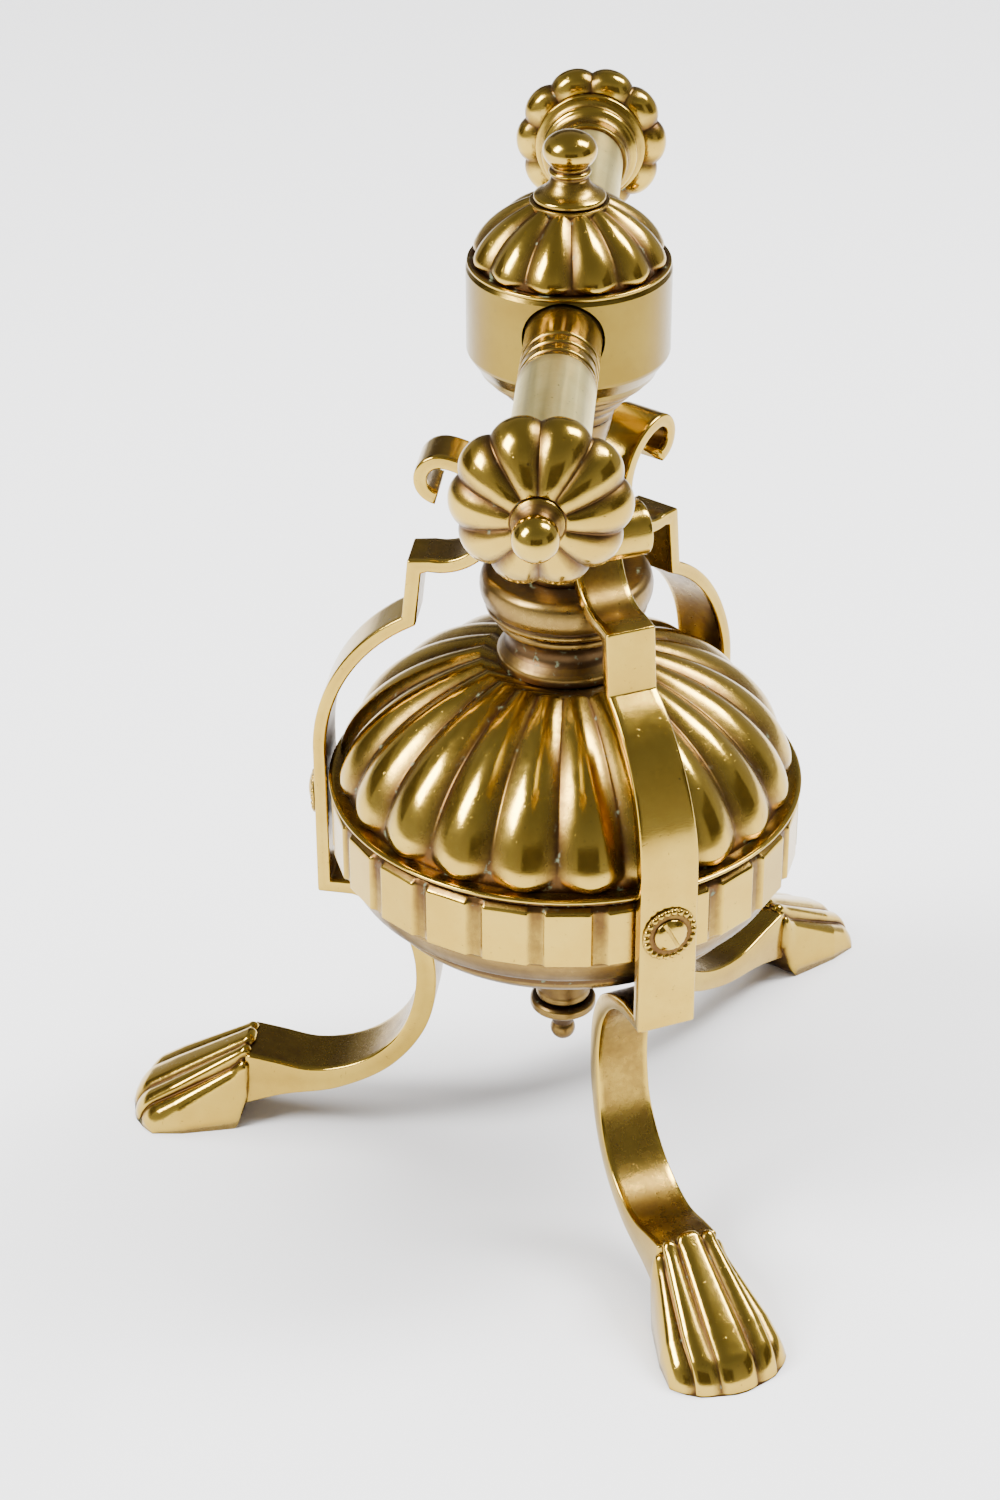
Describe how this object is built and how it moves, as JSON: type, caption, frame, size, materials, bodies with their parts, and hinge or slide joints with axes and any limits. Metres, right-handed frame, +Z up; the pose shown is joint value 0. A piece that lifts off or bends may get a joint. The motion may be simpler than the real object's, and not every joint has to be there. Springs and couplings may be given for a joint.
{
  "type": "fire dog",
  "caption": "Tripod brass fire dog: crossbar with melon knobs on a turned head, above a gadrooned bowl held by scrolled strap legs with shell feet.",
  "frame": {"origin": "on the floor straight under the column's axis", "axes": "+Z up; crossbar along Y, its front knob towards -Y; one leg towards -X"},
  "size_m": [0.1992, 0.2482, 0.2866],
  "materials": {
    "polished_brass": "hand-polished cast brass, bright on the crests, oxidised brown in the hollows",
    "satin_brass": "pale drawn brass tube, finely rubbed, satin",
    "aged_brass": "turned brass left to dull, brown"
  },
  "bodies": {
    "stand": {"centre_rod": "aged_brass", "neck_cup": "aged_brass", "stem": "aged_brass", "bowl_upper": "polished_brass", "bowl_band": "polished_brass", "bowl_lower": "aged_brass", "lower_boss": "aged_brass", "leg_front": "polished_brass", "leg_rear": "polished_brass", "leg_left": "polished_brass", "band_screws": "polished_brass", "band_screw_washers": "polished_brass", "band_nuts": "aged_brass"},
    "head": {"head_base": "aged_brass", "head_drum": "polished_brass", "dome_cap": "polished_brass", "bar_core": "polished_brass", "crossbar_tube_front": "satin_brass", "crossbar_tube_rear": "satin_brass", "knob_flange_front": "polished_brass", "knob_flange_rear": "polished_brass", "bar_plug_front": "aged_brass", "bar_plug_rear": "aged_brass"},
    "finial": {"top_finial": "polished_brass"},
    "knob_front_body": {"knob_front": "polished_brass"},
    "knob_rear_body": {"knob_rear": "polished_brass"},
    "ball_screw_front_body": {"ball_screw_front": "polished_brass"},
    "ball_screw_rear_body": {"ball_screw_rear": "polished_brass"},
    "pendant": {"pendant_nut": "aged_brass"}
  },
  "joints": [
    {"name": "head_turn", "type": "hinge", "parent": "stand", "child": "head", "pos_m": [0, 0, 0.2165], "axis": [0, 0, 1], "continuous": true},
    {"name": "finial_unscrew", "type": "hinge", "parent": "stand", "child": "finial", "pos_m": [0, 0, 0.2703], "axis": [0, 0, 1], "range_deg": [0, 2880]},
    {"name": "knob_front_turn", "type": "hinge", "parent": "head", "child": "knob_front_body", "pos_m": [0, -0.1, 0.245], "axis": [0, -1, 0], "continuous": true},
    {"name": "knob_rear_turn", "type": "hinge", "parent": "head", "child": "knob_rear_body", "pos_m": [0, 0.1, 0.245], "axis": [0, 1, 0], "continuous": true},
    {"name": "ball_screw_front_unscrew", "type": "hinge", "parent": "head", "child": "ball_screw_front_body", "pos_m": [0, -0.11, 0.245], "axis": [0, -1, 0], "range_deg": [0, 3600]},
    {"name": "ball_screw_rear_unscrew", "type": "hinge", "parent": "head", "child": "ball_screw_rear_body", "pos_m": [0, 0.11, 0.245], "axis": [0, 1, 0], "range_deg": [0, 3600]},
    {"name": "pendant_unscrew", "type": "hinge", "parent": "stand", "child": "pendant", "pos_m": [0, 0, 0.0445], "axis": [0, 0, -1], "range_deg": [0, 1800]}
  ]
}
